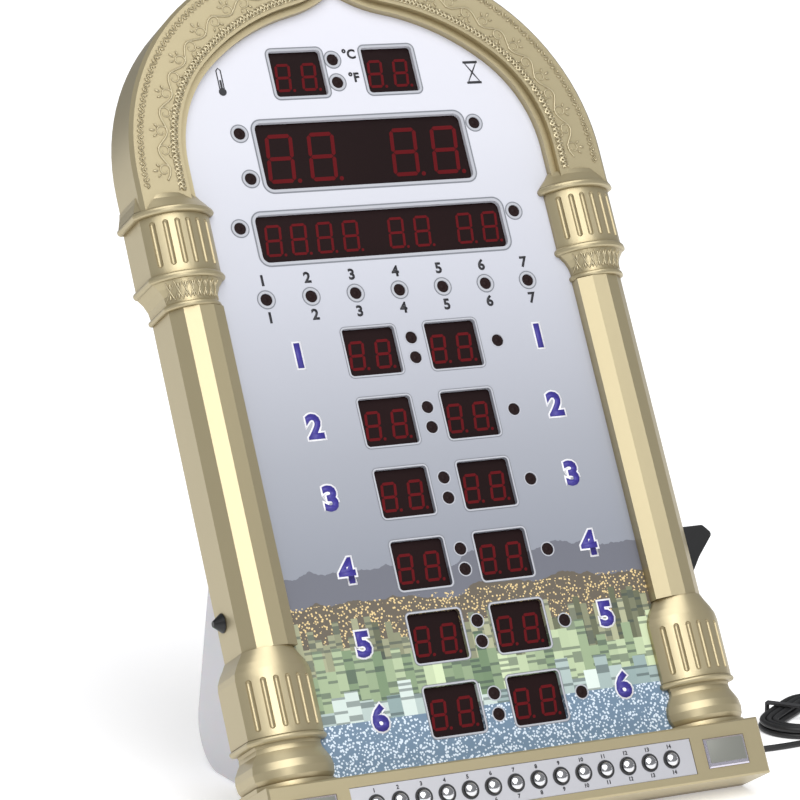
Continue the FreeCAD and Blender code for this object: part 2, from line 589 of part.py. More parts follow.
leg_half = size("leg_half")
tray = leg_side().extrude(V(2 * leg_half, 0, 0))
tray.translate(V(-leg_half, 0, 0))
room_half = leg_half - thick
room = leg_room().extrude(V(2 * room_half, 0, 0))
room.translate(V(-room_half, 0, 0))
tray = tray.cut(room)
for side in (-1, 1):
    ear_room = Part.makeBox(leg_half - bracket_inner + 1, 30, 40,
                            V(bracket_inner if side > 0 else -leg_half - 1, hinge.y - 18, hinge.z - 20))
    tray = tray.cut(ear_room)
barrel = Part.makeCylinder(barrel_r, 2 * bracket_inner, V(-bracket_inner, hinge.y, hinge.z), V(1, 0, 0))
barrel_bore = Part.makeCylinder(pin_r + size("running_gap"), 2 * leg_half, V(-leg_half, hinge.y, hinge.z),
                                V(1, 0, 0))
# The foot rests on two pads set under it.
made("leg_tray", tray.fuse(barrel).cut(barrel_bore), LEVEL)
pads = [Part.makeBox(size("pad_wide"), size("pad_deep"), pad,
                     V(side * size("pad_place") - size("pad_wide") / 2, front + 6, 0)) for side in (-1, 1)]
made("leg_pads", group(pads), LEVEL)

# Mains cord: strain relief, free stretch, tied hank and plug
relief = Part.makeCone(4.6, 2.6, size("relief_long"), V(cord_x, case_back, cord_z), V(0, 1, 0))
relief = relief.fuse([peg(3.9, wall, cord_x, cover_front, cord_z),
                      peg(5.2, 1.2, cord_x, cover_front - 1.2, cord_z)])
made("strain_relief", relief)
exit_point = STANCE.multVec(V(cord_x, case_back + size("relief_long"), cord_z))
cord_r = size("cord_size") / 2


def tube(points, radius):
    """A tube along straight runs joined by tangent arcs as large as the runs allow."""
    edges, start, least = [], points[0], 1e9
    for before, corner, after in zip(points, points[1:], points[2:]):
        a, b = (before - corner), (after - corner)
        run = 0.45 * min(a.Length, b.Length)
        a.normalize()
        b.normalize()
        turn = pi - a.getAngle(b)
        bend_r = run / tan(turn / 2)
        least = min(least, bend_r)
        enter, leave = corner + a * run, corner + b * run
        bisector = (a + b).normalize()
        middle = corner + bisector * (bend_r / cos(turn / 2) - bend_r)
        edges += [Part.makeLine(start, enter), Part.Arc(enter, middle, leave).toShape()]
        start = leave
    edges.append(Part.makeLine(start, points[-1]))
    path = Part.Wire(edges)
    direction = points[1] - points[0]
    section = Part.Wire(Part.makeCircle(radius, points[0], direction))
    solid = path.makePipeShell([section], True, False, 2)
    print("tube length %.0f mm, tightest arc %.1f mm, volume ratio %.4f"
          % (path.Length, least, solid.Volume / (pi * radius ** 2 * path.Length)))
    return solid


# The hank lies on the table to the right of the plinth, runs along (0.8, 0.6)
hank_start = V(217, 62, 0)
hank_way = V(0.8, 0.6, 0)
hank_side = V(-0.6, 0.8, 0)
hank_half = size("hank_bend") + (size("hank_loops") - 1) * size("hank_pitch") + cord_r
hank_high = 2 * size("hank_pitch")
hank_middle = hank_start + hank_way * (hank_half + size("hank_run") / 2)
into_hank = hank_middle - hank_way * (size("hank_run") / 2) - hank_side * (hank_half - cord_r)
outward = STANCE.Rotation.multVec(V(0, 1, 0))
cord_route = [exit_point, exit_point + outward * 9, V(118, 46, cord_r + 0.4), V(134, 55, cord_r + 0.1),
              V(154, 55, cord_r), V(175, 51.5, cord_r), V(196, 45.5, cord_r),
              into_hank - hank_way * 14 - hank_side * 1.5 + V(0, 0, cord_r), into_hank + V(0, 0, cord_r)]
made("mains_cord", tube(cord_route, cord_r), LEVEL)
slab = Part.makeCylinder(hank_half, hank_high, V(-size("hank_run") / 2, 0, 0)).fuse(
    Part.makeCylinder(hank_half, hank_high, V(size("hank_run") / 2, 0, 0))).fuse(
    Part.makeBox(size("hank_run"), 2 * hank_half, hank_high, V(-size("hank_run") / 2, -hank_half, 0)))
gap_half = size("hank_bend") - cord_r
slot = Part.makeCylinder(gap_half, 20, V(-size("hank_run") / 2, 0, -5)).fuse(
    Part.makeCylinder(gap_half, 20, V(size("hank_run") / 2, 0, -5))).fuse(
    Part.makeBox(size("hank_run"), 2 * gap_half, 20, V(-size("hank_run") / 2, -gap_half, -5)))
HANK = FreeCAD.Placement(hank_middle, FreeCAD.Rotation(V(0, 0, 1), degrees(atan2(hank_way.y, hank_way.x))))
made("cord_hank", slab.cut(slot), HANK)
tie = Part.makeBox(5, 2 * hank_half + 2.4, hank_high + 1.6, V(-2.5, -hank_half - 1.2, -0.0)).cut(
    Part.makeBox(7, 2 * hank_half + 0.4, hank_high + 0.3, V(-3.5, -hank_half - 0.2, 0.0)))
made("cord_tie", tie, HANK)
tail_start = (hank_middle + hank_way * (size("hank_run") / 2) - hank_side * (hank_half - cord_r)
              + V(0, 0, cord_r + size("hank_pitch")))
plug_half = size("plug_thick") / 2
tail_route = [tail_start, tail_start + hank_way * 16, tail_start + hank_way * 32 - hank_side * 3
              + V(0, 0, plug_half - tail_start.z)]
made("cord_tail", tube(tail_route, cord_r), LEVEL)
tail_way = (tail_route[2] - tail_route[1])
tail_way.z = 0
PLUG = FreeCAD.Placement(tail_route[2], FreeCAD.Rotation(V(1, 0, 0), tail_way))
plug_profile = [V(0, -3.5, 0), V(8, -4.5, 0), V(14, -12.5, 0), V(34, -12.5, 0), V(38, -11, 0),
                V(38, 11, 0), V(34, 12.5, 0), V(14, 12.5, 0), V(8, 4.5, 0), V(0, 3.5, 0)]
plug = Part.Face(Part.makePolygon(plug_profile + plug_profile[:1])).extrude(V(0, 0, 2 * plug_half))
plug.translate(V(0, 0, -plug_half))
made("mains_plug", plug, PLUG)
made("plug_pins", group([peg(size("prong_radius"), size("prong_long"), 38, side * size("prong_pitch") / 2, 0,
                             V(1, 0, 0)) for side in (-1, 1)]), PLUG)

doc.recompute()
for thing in doc.Objects:
    if "Invalid" in thing.State or "Error" in thing.State:
        raise RuntimeError("not built: " + thing.Label)
os.makedirs("parts", exist_ok=True)
for piece in nodes:
    if piece.Shape.isNull() or not piece.Shape.isValid():
        raise RuntimeError("bad shape: " + piece.Label)
for piece in nodes:
    piece.Shape.exportStep("parts/%s.step" % piece.Label)
print(len(nodes), "nodes; leg hinge at", hinge,
      "spindles at", STANCE.multVec(V(0, control_depth, control_height)))
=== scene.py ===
import bpy
from math import pi, sin, cos, sqrt, hypot, atan2, radians
from mathutils import Matrix, Vector


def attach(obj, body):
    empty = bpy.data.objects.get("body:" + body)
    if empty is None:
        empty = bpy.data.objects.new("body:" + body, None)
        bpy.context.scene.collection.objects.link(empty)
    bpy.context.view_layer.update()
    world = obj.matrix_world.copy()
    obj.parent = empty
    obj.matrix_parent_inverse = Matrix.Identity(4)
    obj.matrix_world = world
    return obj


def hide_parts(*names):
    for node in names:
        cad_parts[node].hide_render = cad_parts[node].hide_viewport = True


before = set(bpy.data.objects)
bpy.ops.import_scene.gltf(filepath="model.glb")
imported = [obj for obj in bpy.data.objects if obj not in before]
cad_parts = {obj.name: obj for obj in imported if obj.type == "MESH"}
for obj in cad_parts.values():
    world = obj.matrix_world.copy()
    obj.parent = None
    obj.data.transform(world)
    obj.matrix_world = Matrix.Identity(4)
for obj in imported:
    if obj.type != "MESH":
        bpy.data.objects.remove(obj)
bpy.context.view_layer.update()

# The clock is drawn upright in metres (x right, y back, z up from the plinth's underside), then leaned back
stance = dict(lean=28, caseBack=0.021, restFlat=0.006)
lean = radians(stance["lean"])
turnBack = Matrix.Rotation(-lean, 4, "X")
flatDeep, flatHigh = stance["restFlat"] * cos(lean), stance["restFlat"] * sin(lean)
restMiddle = turnBack @ Vector((0, stance["caseBack"] - flatDeep / 2, flatHigh / 2))
leanBack = Matrix.Translation((0, -restMiddle.y, -restMiddle.z)) @ turnBack

# Camera
camera = dict(place=(-0.8772, -1.5552, 0.5440), look=(0.4568, 0.8720, -0.1759), lens=158.2, sensor=36)
cameraData = bpy.data.cameras.new("camera")
cameraData.lens, cameraData.sensor_width = camera["lens"], camera["sensor"]
cameraObject = bpy.data.objects.new("camera", cameraData)
bpy.context.scene.collection.objects.link(cameraObject)
cameraObject.location = camera["place"]
cameraObject.rotation_euler = Vector(camera["look"]).to_track_quat("-Z", "Y").to_euler()
bpy.context.scene.camera = cameraObject


# Helpers
def clearPick():
    if bpy.context.object and bpy.context.object.mode != "OBJECT":
        bpy.ops.object.mode_set(mode="OBJECT")
    bpy.ops.object.select_all(action="DESELECT")


def pick(*pieces):
    clearPick()
    for piece in pieces:
        piece.select_set(True)
    bpy.context.view_layer.objects.active = pieces[0]


def tone(red, green, blue):  # a screen colour of 0 to 255 as linear light
    shares = [value / 255 for value in (red, green, blue)]
    return [share / 12.92 if share <= 0.04 else ((share + 0.055) / 1.055) ** 2.4 for share in shares] + [1]


def finishPiece(piece, name, material, smooth=40):
    pick(piece)
    bpy.ops.object.transform_apply(location=True, rotation=True, scale=True)
    piece.data.transform(leanBack)
    piece.name = name
    if smooth:
        bpy.ops.object.shade_smooth_by_angle(angle=radians(smooth))
    piece.data.materials.clear()
    piece.data.materials.append(material)
    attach(piece, "housing")
    clearPick()


def joined(pieces):
    pick(*pieces)
    bpy.ops.object.join()
    return bpy.context.object


def addModifier(piece, kind, **settings):
    pick(piece)
    modifier = piece.modifiers.new(kind, kind)
    for key, value in settings.items():
        setattr(modifier, key, value)
    bpy.ops.object.modifier_apply(modifier=modifier.name)
    return piece


def copyOf(piece, matrix):
    twin = piece.copy()
    twin.data = piece.data.copy()
    bpy.context.scene.collection.objects.link(twin)
    twin.data.transform(matrix)
    return twin


def bar(wide, deep, high, x, y, z, bevel):
    clearPick()
    bpy.ops.mesh.primitive_cube_add(size=1, location=(x, y, z))
    piece = bpy.context.object
    piece.scale = (wide, deep, high)
    bpy.ops.object.transform_apply(location=False, rotation=False, scale=True)
    return addModifier(piece, "BEVEL", width=bevel, segments=3)


def ball(radius, x, y, z, around, rings, squash=1.0):
    clearPick()
    bpy.ops.mesh.primitive_uv_sphere_add(segments=around, ring_count=rings, radius=radius,
                                         location=(x, y, z))
    piece = bpy.context.object
    piece.scale = (1, squash, 1)
    bpy.ops.object.transform_apply(location=False, rotation=False, scale=True)
    return piece


def roundedFrame(x, y, z, wide, high, corner, border, thick):
    clearPick()
    bpy.ops.mesh.primitive_plane_add(size=1, location=(x, y, z), rotation=(pi / 2, 0, 0))
    piece = bpy.context.object
    piece.scale = (wide + 2 * border, high + 2 * border, 1)
    bpy.ops.object.transform_apply(location=False, rotation=True, scale=True)
    bpy.ops.object.mode_set(mode="EDIT")
    bpy.ops.mesh.select_all(action="SELECT")
    bpy.ops.mesh.bevel(offset=corner + border, segments=6, affect="VERTICES")
    bpy.ops.mesh.select_all(action="SELECT")
    bpy.ops.mesh.inset(thickness=border, use_even_offset=True)
    bpy.ops.mesh.delete(type="FACE")
    bpy.ops.object.mode_set(mode="OBJECT")
    return addModifier(piece, "SOLIDIFY", thickness=thick, offset=0)


def ringDisc(x, y, z, inner, outer, thick):
    clearPick()
    bpy.ops.mesh.primitive_circle_add(vertices=36, radius=inner, location=(x, y, z),
                                      rotation=(pi / 2, 0, 0))
    piece = bpy.context.object
    bpy.ops.object.transform_apply(location=False, rotation=True, scale=True)
    bpy.ops.object.mode_set(mode="EDIT")
    bpy.ops.mesh.select_all(action="SELECT")
    bpy.ops.mesh.extrude_edges_move()
    bpy.ops.transform.resize(value=(outer / inner, 1, outer / inner), center_override=(x, y, z))
    bpy.ops.object.mode_set(mode="OBJECT")
    return addModifier(piece, "SOLIDIFY", thickness=thick, offset=0)


def lettering(text, x, y, z, high, heavy, thick=0.00012):
    grow = 1.35 * high  # the font's figures stand about 1 / 1.35 of its size
    clearPick()
    bpy.ops.object.text_add(location=(0, 0, 0))
    piece = bpy.context.object
    piece.data.body = text
    piece.data.align_x, piece.data.align_y = "CENTER", "CENTER"
    piece.data.size = 1
    piece.data.offset = heavy
    piece.data.resolution_u = 3
    bpy.ops.object.convert(target="MESH")
    piece = bpy.context.object
    piece.data.transform(Matrix.Diagonal((grow, grow, 1, 1)))
    piece.data.transform(Matrix.Translation((x, y, z)) @ Matrix.Rotation(pi / 2, 4, "X"))
    return addModifier(piece, "SOLIDIFY", thickness=thick, offset=0)


def wire(points, thick, resolution=3, taper=None):
    curve = bpy.data.curves.new("wire", "CURVE")
    curve.dimensions = "3D"
    spline = curve.splines.new("POLY")
    spline.points.add(len(points) - 1)
    for index, point in enumerate(points):
        spline.points[index].co = (*point, 1)
        spline.points[index].radius = taper(index / (len(points) - 1)) if taper else 1
    curve.bevel_depth = thick
    curve.bevel_resolution = resolution
    curve.use_fill_caps = True
    piece = bpy.data.objects.new("wire", curve)
    bpy.context.scene.collection.objects.link(piece)
    pick(piece)
    bpy.ops.object.convert(target="MESH")
    return bpy.context.object


# Node groups and materials
def newGroup(name, inputs, outputs):
    group = bpy.data.node_groups.new(name, "ShaderNodeTree")
    for socketName, kind in inputs:
        group.interface.new_socket(socketName, in_out="INPUT", socket_type=kind)
    for socketName, kind in outputs:
        group.interface.new_socket(socketName, in_out="OUTPUT", socket_type=kind)
    start, end = group.nodes.new("NodeGroupInput"), group.nodes.new("NodeGroupOutput")
    return group, start, end


def makeGrain():
    grain = dict(detail=3, broadScale=14, roughReach=0.12)
    group, start, end = newGroup(
        "mouldedGrain",
        [("Colour", "NodeSocketColor"), ("Scale", "NodeSocketFloat"), ("Spread", "NodeSocketFloat"),
         ("Roughness", "NodeSocketFloat")],
        [("Colour", "NodeSocketColor"), ("Roughness", "NodeSocketFloat"), ("Height", "NodeSocketFloat")])
    nodes, links = group.nodes, group.links
    place = nodes.new("ShaderNodeTexCoord")
    fine, broad = nodes.new("ShaderNodeTexNoise"), nodes.new("ShaderNodeTexNoise")
    fine.inputs["Detail"].default_value = grain["detail"]
    broad.inputs["Scale"].default_value = grain["broadScale"]
    links.new(start.outputs["Scale"], fine.inputs["Scale"])
    for node in (fine, broad):
        links.new(place.outputs["Object"], node.inputs["Vector"])
    shift = nodes.new("ShaderNodeMapRange")
    shift.inputs["To Min"].default_value, shift.inputs["To Max"].default_value = -1, 1
    links.new(broad.outputs["Fac"], shift.inputs["Value"])
    amount = nodes.new("ShaderNodeMath")
    amount.operation = "MULTIPLY"
    links.new(shift.outputs["Result"], amount.inputs[0])
    links.new(start.outputs["Spread"], amount.inputs[1])
    lift = nodes.new("ShaderNodeMath")
    lift.operation = "ADD"
    lift.inputs[1].default_value = 1.0
    links.new(amount.outputs[0], lift.inputs[0])
    tint = nodes.new("ShaderNodeVectorMath")
    tint.operation = "SCALE"
    links.new(start.outputs["Colour"], tint.inputs[0])
    links.new(lift.outputs[0], tint.inputs["Scale"])
    links.new(tint.outputs[0], end.inputs["Colour"])
    rough = nodes.new("ShaderNodeMath")
    rough.operation = "MULTIPLY_ADD"
    rough.inputs[1].default_value = grain["roughReach"]
    links.new(fine.outputs["Fac"], rough.inputs[0])
    links.new(start.outputs["Roughness"], rough.inputs[2])
    links.new(rough.outputs[0], end.inputs["Roughness"])
    links.new(fine.outputs["Fac"], end.inputs["Height"])
    return group


grainGroup = makeGrain()


def makeMaterial(name, colour, rough, metal=0.0, grain=900, spread=0.05, bump=0.04, **extra):
    material = bpy.data.materials.new(name)
    material.use_nodes = True
    nodes, links = material.node_tree.nodes, material.node_tree.links
    shader = nodes["Principled BSDF"]
    grainNode = nodes.new("ShaderNodeGroup")
    grainNode.node_tree = grainGroup
    grainNode.inputs["Colour"].default_value = colour
    grainNode.inputs["Scale"].default_value = grain
    grainNode.inputs["Spread"].default_value = spread
    grainNode.inputs["Roughness"].default_value = rough - 0.06  # half the grain's reach, so rough is the middle
    links.new(grainNode.outputs["Colour"], shader.inputs["Base Color"])
    links.new(grainNode.outputs["Roughness"], shader.inputs["Roughness"])
    shader.inputs["Metallic"].default_value = metal
    for key, value in extra.items():
        shader.inputs[key.replace("_", " ")].default_value = value
    if bump:
        bumpNode = nodes.new("ShaderNodeBump")
        bumpNode.inputs["Strength"].default_value = bump
        bumpNode.inputs["Distance"].default_value = 0.0002
        links.new(grainNode.outputs["Height"], bumpNode.inputs["Height"])
        links.new(bumpNode.outputs["Normal"], shader.inputs["Normal"])
    return material


# Painted shade: the base colour turns towards the given dark colour where ambient occlusion finds nearby
# surfaces, in creases and recesses
def addHollowShade(material, hollowShadeColour, reach):
    nodes, links = material.node_tree.nodes, material.node_tree.links
    shader = nodes["Principled BSDF"]
    colour = shader.inputs["Base Color"].links[0].from_socket
    hollow = nodes.new("ShaderNodeAmbientOcclusion")
    hollow.samples = 6
    hollow.inputs["Distance"].default_value = reach
    mix = nodes.new("ShaderNodeMix")
    mix.data_type = "RGBA"
    mix.inputs["A"].default_value = hollowShadeColour
    links.new(hollow.outputs["AO"], mix.inputs["Factor"])
    links.new(colour, mix.inputs["B"])
    links.new(mix.outputs["Result"], shader.inputs["Base Color"])


champagne = dict(metal=0.62, grain=2200, spread=0.03, bump=0.06)
goldPaint = makeMaterial("goldPaint", tone(179, 167, 134), rough=0.36, **champagne)
goldRelief = makeMaterial("goldRelief", tone(185, 174, 143), rough=0.34, **champagne)
coverPlastic = makeMaterial("coverPlastic", tone(196, 182, 146), rough=0.55, grain=700, bump=0.12)
silverPlate = makeMaterial("silverPlate", tone(205, 205, 210), rough=0.34, metal=0.55, grain=1200, spread=0.03)
silverRing = makeMaterial("silverRing", tone(120, 123, 130), rough=0.45, grain=1200, spread=0.03)
paleRing = makeMaterial("paleRing", tone(176, 178, 185), rough=0.5, grain=1200, spread=0.02)
chromeDome = makeMaterial("chromeDome", tone(222, 222, 224), rough=0.16, metal=1.0, grain=600, spread=0.02,
                          bump=0.02)
darkRing = makeMaterial("darkRing", tone(44, 44, 46), rough=0.4, grain=900)
greyInlay = makeMaterial("greyInlay", tone(128, 129, 122), rough=0.42, metal=0.25, grain=900)
bevelChrome = makeMaterial("bevelChrome", tone(214, 210, 222), rough=0.2, metal=0.8, grain=700)
filterAcrylic = makeMaterial("filterAcrylic", tone(26, 9, 10), rough=0.45, grain=120, spread=0.45, bump=0.0,
                             Specular_IOR_Level=0.12)
segmentDim = makeMaterial("segmentDim", tone(92, 14, 20), rough=0.6, grain=500, spread=0.2, bump=0.0,
                          Specular_IOR_Level=0.1)
lampDark = makeMaterial("lampDark", tone(30, 15, 15), rough=0.6, grain=500, spread=0.2, bump=0.0,
                        Specular_IOR_Level=0.15)
blackPlastic = makeMaterial("blackPlastic", tone(20, 20, 21), rough=0.38, grain=800, spread=0.08, bump=0.1)
cordSheath = makeMaterial("cordSheath", tone(26, 26, 27), rough=0.5, grain=500, spread=0.08, bump=0.08)
legPlastic = makeMaterial("legPlastic", tone(214, 214, 218), rough=0.38, grain=500, spread=0.04, bump=0.05,
                          Subsurface_Weight=0.25, Subsurface_Scale=0.006)
bracketSteel = makeMaterial("bracketSteel", tone(150, 151, 154), rough=0.35, metal=0.9, grain=900)
screwSteel = makeMaterial("screwSteel", tone(170, 170, 172), rough=0.3, metal=1.0, grain=900)
boardGreen = makeMaterial("boardGreen", tone(30, 84, 48), rough=0.35, grain=400, spread=0.2, Coat_Weight=0.3)
padRubber = makeMaterial("padRubber", tone(40, 40, 42), rough=0.7, grain=700, bump=0.15)
pulpBlack = makeMaterial("pulpBlack", tone(36, 35, 34), rough=0.85, grain=900, bump=0.2)
copperWire = makeMaterial("copperWire", tone(176, 104, 60), rough=0.35, metal=0.8, grain=900)
inkBlack = makeMaterial("inkBlack", tone(30, 30, 36), rough=0.5, grain=900, spread=0.1, bump=0.0)
inkBlue = makeMaterial("inkBlue", tone(58, 50, 140), rough=0.5, grain=900, spread=0.1, bump=0.0)
inkWhite = makeMaterial("inkWhite", tone(242, 242, 246), rough=0.5, grain=900, spread=0.02, bump=0.0)
tieBlack = makeMaterial("tieBlack", tone(48, 48, 50), rough=0.5, grain=700)
pinNickel = makeMaterial("pinNickel", tone(205, 202, 192), rough=0.22, metal=1.0, grain=700)
# Painted shade in the gold's creases and recesses
addHollowShade(goldPaint, tone(120, 100, 58), 0.004)
addHollowShade(goldRelief, tone(112, 92, 52), 0.003)
print("materials made")


# Mains cord: down from the relief, along the table and into a tied hank, then out to the plug
cord = dict(thick=0.0036, length=1.52, exitPlace=(0.112, 0.035, 0.021), out=0.009, hankStart=(0.217, 0.062),
            hankRun=0.040, hankBend=0.0108, hankPitch=0.0037, loops=3.5, upperLoops=3.125,
            plugHalf=0.006)
cordRadius = cord["thick"] / 2
cordExit = leanBack @ Vector(cord["exitPlace"])
cordOut = leanBack.to_3x3() @ Vector((0, 1, 0))
hankWay, hankSide = Vector((0.8, 0.6, 0)), Vector((-0.6, 0.8, 0))
hankRadius = cord["hankBend"] + cord["loops"] * cord["hankPitch"]
hankMiddle = Vector((*cord["hankStart"], 0)) + hankWay * (hankRadius + cordRadius + cord["hankRun"] / 2)
intoHank = hankMiddle - hankWay * cord["hankRun"] / 2 - hankSide * hankRadius + Vector((0, 0, cordRadius))
tableRoute = [(0.118, 0.046, 0.0022), (0.134, 0.055, 0.0019), (0.154, 0.055, 0.0018), (0.175, 0.0515, 0.0018),
              (0.196, 0.0455, 0.0018)]
cordPoints = [cordExit, cordExit + cordOut * cord["out"]] + [Vector(place) for place in tableRoute]
cordPoints.append(intoHank - hankWay * 0.014 - hankSide * 0.0015)


# One place along the racetrack, by the loops run since the lower straight's start
def hankPoint(loop, layer, radius):
    spread = radius / cos(pi / 12)  # the curve passes inside its control points
    part = loop % 1
    if part < 0.125:
        along, aside = (part / 0.125 - 0.5) * cord["hankRun"], -spread
    elif part < 0.5:
        turn = (part - 0.125) / 0.375 * pi - pi / 2
        along, aside = cord["hankRun"] / 2 + spread * cos(turn), spread * sin(turn)
    elif part < 0.625:
        along, aside = (0.5 - (part - 0.5) / 0.125) * cord["hankRun"], spread
    else:
        turn = (part - 0.625) / 0.375 * pi + pi / 2
        along, aside = -cord["hankRun"] / 2 + spread * cos(turn), spread * sin(turn)
    height = Vector((0, 0, cordRadius + layer * cord["hankPitch"]))
    return hankMiddle + hankWay * along + hankSide * aside + height


loopStops = [0.0, 0.0625] + [0.125 + 0.375 * k / 6 for k in range(7)]
loopStops += [0.5625] + [0.625 + 0.375 * k / 6 for k in range(6)]
lowerStops = [turn + stop for turn in range(4) for stop in loopStops if turn + stop <= cord["loops"]]
for stop in lowerStops:  # lower layer, drawn in
    cordPoints.append(hankPoint(stop, 0, hankRadius - cord["hankPitch"] * stop))
for stop in loopStops:  # up one layer along the inmost half loop
    if stop > 0.5:
        cordPoints.append(hankPoint(stop, (stop - 0.5) / 0.5, cord["hankBend"]))
upperStops = [turn + stop for turn in range(4) for stop in loopStops if turn + stop <= cord["upperLoops"]]
for stop in upperStops:  # upper layer, let out again
    cordPoints.append(hankPoint(stop, 1, cord["hankBend"] + cord["hankPitch"] * stop))
tailStart = hankMiddle + hankWay * cord["hankRun"] / 2 - hankSide * hankRadius
tailStart.z = cordRadius + cord["hankPitch"]
plugEnd = tailStart + hankWay * 0.032 - hankSide * 0.003
plugEnd.z = cord["plugHalf"]
cordPoints += [tailStart + hankWay * 0.016, plugEnd]
cordCurve = bpy.data.curves.new("mainsCord", "CURVE")
cordCurve.dimensions = "3D"
cordSpline = cordCurve.splines.new("NURBS")
cordSpline.points.add(len(cordPoints) - 1)
for splinePoint, place in zip(cordSpline.points, cordPoints):
    splinePoint.co = (*place, 1)
cordSpline.order_u = 3
cordSpline.use_endpoint_u = True
cordSpline.resolution_u = 5
cordCurve.bevel_depth = cordRadius
cordCurve.bevel_resolution = 4
cordCurve.use_fill_caps = True
mainsCord = bpy.data.objects.new("mainsCord", cordCurve)
bpy.context.scene.collection.objects.link(mainsCord)
mainsCord.data.materials.append(cordSheath)
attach(mainsCord, "housing")
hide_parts("mains_cord", "cord_hank", "cord_tail")
print("cord laid")


# Printed face: a grey sky over a made-up town, drawn by height and place across the sheet
printed = dict(skyHigh=0.48, ridgeScale=26, ridgeDetail=5, lightScale=620, lightSize=0.34, lightLow=0.100,
               lightHigh=0.124, rowShift=0.0031, storey=0.0015, paneShare=0.72, paneBlend=0.6, speckScale=640,
               speckSize=0.4, squareTop=0.0605)


def makeFacePrint():
    material = bpy.data.materials.new("facePrint")
    material.use_nodes = True
    nodes, links = material.node_tree.nodes, material.node_tree.links
    shader = nodes["Principled BSDF"]

    def calc(operation, *values):
        node = nodes.new("ShaderNodeMath")
        node.operation = operation
        for socket, value in zip(node.inputs, values):
            if isinstance(value, (int, float)):
                socket.default_value = value
            else:
                links.new(value, socket)
        return node.outputs[0]

    def blend(factor, first, second):
        node = nodes.new("ShaderNodeMix")
        node.data_type = "RGBA"
        for socket, value in (("Factor", factor), ("A", first), ("B", second)):
            if isinstance(value, list):
                node.inputs[socket].default_value = value
            else:
                links.new(value, node.inputs[socket])
        return node.outputs["Result"]

    def chance(value, seed):
        node = nodes.new("ShaderNodeTexWhiteNoise")
        node.noise_dimensions = "2D"
        pair = nodes.new("ShaderNodeCombineXYZ")
        links.new(value, pair.inputs["X"])
        pair.inputs["Y"].default_value = seed
        links.new(pair.outputs[0], node.inputs["Vector"])
        return node.outputs["Value"]

    place = nodes.new("ShaderNodeTexCoord")
    upright = nodes.new("ShaderNodeMapping")
    upright.inputs["Rotation"].default_value = (lean, 0, 0)
    upright.inputs["Location"].default_value = turnBack.inverted() @ restMiddle
    links.new(place.outputs["Object"], upright.inputs["Vector"])
    split = nodes.new("ShaderNodeSeparateXYZ")
    links.new(upright.outputs[0], split.inputs[0])
    across, height = split.outputs["X"], split.outputs["Z"]
    skyRamp = nodes.new("ShaderNodeValToRGB")
    stops = [(0.0, tone(132, 140, 152)), (0.30, tone(138, 142, 152)), (0.42, tone(156, 159, 168)),
             (0.62, tone(188, 190, 199)), (0.80, tone(208, 209, 217)), (1.0, tone(216, 216, 225))]
    ramp = skyRamp.color_ramp
    for position, colour in stops[1:-1]:
        ramp.elements.new(position)
    for element, (position, colour) in zip(ramp.elements, stops):
        element.position, element.color = position, colour
    links.new(calc("DIVIDE", height, printed["skyHigh"]), skyRamp.inputs["Fac"])
    picture = skyRamp.outputs["Color"]

    ridge = nodes.new("ShaderNodeTexNoise")
    ridge.noise_dimensions = "1D"
    ridge.inputs["Scale"].default_value = printed["ridgeScale"]
    ridge.inputs["Detail"].default_value = printed["ridgeDetail"]
    links.new(across, ridge.inputs["W"])
    for top, reach, near in ((0.128, 0.026, tone(104, 106, 116)), (0.112, 0.024, tone(96, 88, 76))):
        line = calc("MULTIPLY_ADD", ridge.outputs["Fac"], reach, top)
        picture = blend(calc("LESS_THAN", height, line), picture, near)
    # Warm lamps over the foot of the hills
    lights = nodes.new("ShaderNodeTexVoronoi")
    lights.inputs["Scale"].default_value = printed["lightScale"]
    links.new(upright.outputs[0], lights.inputs["Vector"])
    glow = calc("LESS_THAN", lights.outputs["Distance"], printed["lightSize"])
    strip = calc("MULTIPLY", calc("LESS_THAN", height, printed["lightHigh"]),
                 calc("GREATER_THAN", height, printed["lightLow"]))
    picture = blend(calc("MULTIPLY", glow, strip), picture, tone(222, 196, 140))
    # Blocks of houses in stepped rows
    for row, (cell, low, spread, light, shade) in enumerate((
            (0.0038, 0.100, 0.016, tone(170, 172, 140), tone(92, 96, 74)),
            (0.0056, 0.084, 0.018, tone(206, 220, 180), tone(104, 128, 96)),
            (0.0079, 0.066, 0.014, tone(222, 234, 226), tone(128, 150, 150)))):
        column = calc("FLOOR", calc("DIVIDE", calc("ADD", across, printed["rowShift"] * row), cell))
        roof = calc("MULTIPLY_ADD", chance(column, 3.0 + row), spread, low)
        body = blend(chance(column, 9.0 + row), light, shade)
        storey = calc("FLOOR", calc("DIVIDE", height, printed["storey"]))
        cellNumber = calc("MULTIPLY_ADD", column, 57.0, storey)
        pane = calc("GREATER_THAN", chance(cellNumber, 1.0 + row), printed["paneShare"])
        body = blend(calc("MULTIPLY", pane, printed["paneBlend"]), body, tone(52, 66, 66))
        picture = blend(calc("LESS_THAN", height, roof), picture, body)
    # Speckled square in the foreground
    speck = nodes.new("ShaderNodeTexVoronoi")
    speck.inputs["Scale"].default_value = printed["speckScale"]
    links.new(upright.outputs[0], speck.inputs["Vector"])
    spots = calc("LESS_THAN", speck.outputs["Distance"], printed["speckSize"])
    dots = blend(spots, tone(104, 128, 150), tone(212, 224, 236))
    picture = blend(calc("LESS_THAN", height, printed["squareTop"]), picture, dots)
    links.new(picture, shader.inputs["Base Color"])
    shader.inputs["Roughness"].default_value = 0.42
    return material


facePrint = makeFacePrint()

